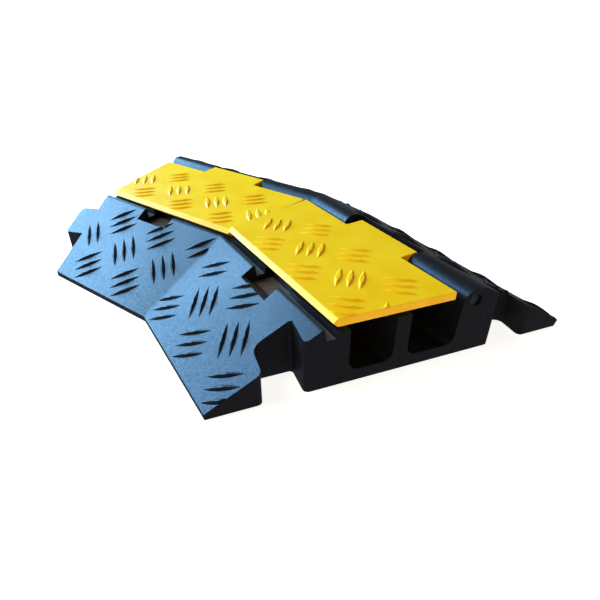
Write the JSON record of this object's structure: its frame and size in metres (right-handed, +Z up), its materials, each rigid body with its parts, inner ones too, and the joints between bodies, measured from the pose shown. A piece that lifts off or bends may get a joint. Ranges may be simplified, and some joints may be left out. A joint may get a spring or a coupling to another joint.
{
  "type": "cable protector ramp",
  "caption": "Cable protector ramp for a corner: a black rubber base bent at a mitre, yellow lids hinged along the outer side, and lugs and notches for the next section.",
  "frame": {"origin": "on the ground, on the mitre between the two legs, at the centreline between the ramps' toes", "axes": "+Z up; X across the mitre, leg A towards -X and leg B towards +X; +Y towards the hinge side, which is the outer side of the bend"},
  "size_m": [0.426, 0.2818, 0.0514],
  "materials": {
    "rubber": "satin moulded black rubber",
    "lid_plastic": "satin moulded yellow plastic",
    "pin_steel": "drawn round bar, dull"
  },
  "bodies": {
    "base": {"base": "rubber", "hinge_pin_a": "pin_steel", "hinge_pin_b": "pin_steel"},
    "lid_a": {"lid_a": "lid_plastic"},
    "lid_b": {"lid_b": "lid_plastic"}
  },
  "joints": [
    {"name": "lid_a_hinge", "type": "hinge", "parent": "base", "child": "lid_a", "pos_m": [-0.09311, 0.03368, 0.041], "axis": [-0.9808, -0.1951, 0], "range_deg": [0, 95]},
    {"name": "lid_b_hinge", "type": "hinge", "parent": "base", "child": "lid_b", "pos_m": [0.09311, 0.03368, 0.041], "axis": [-0.9808, 0.1951, 0], "range_deg": [0, 95]}
  ]
}
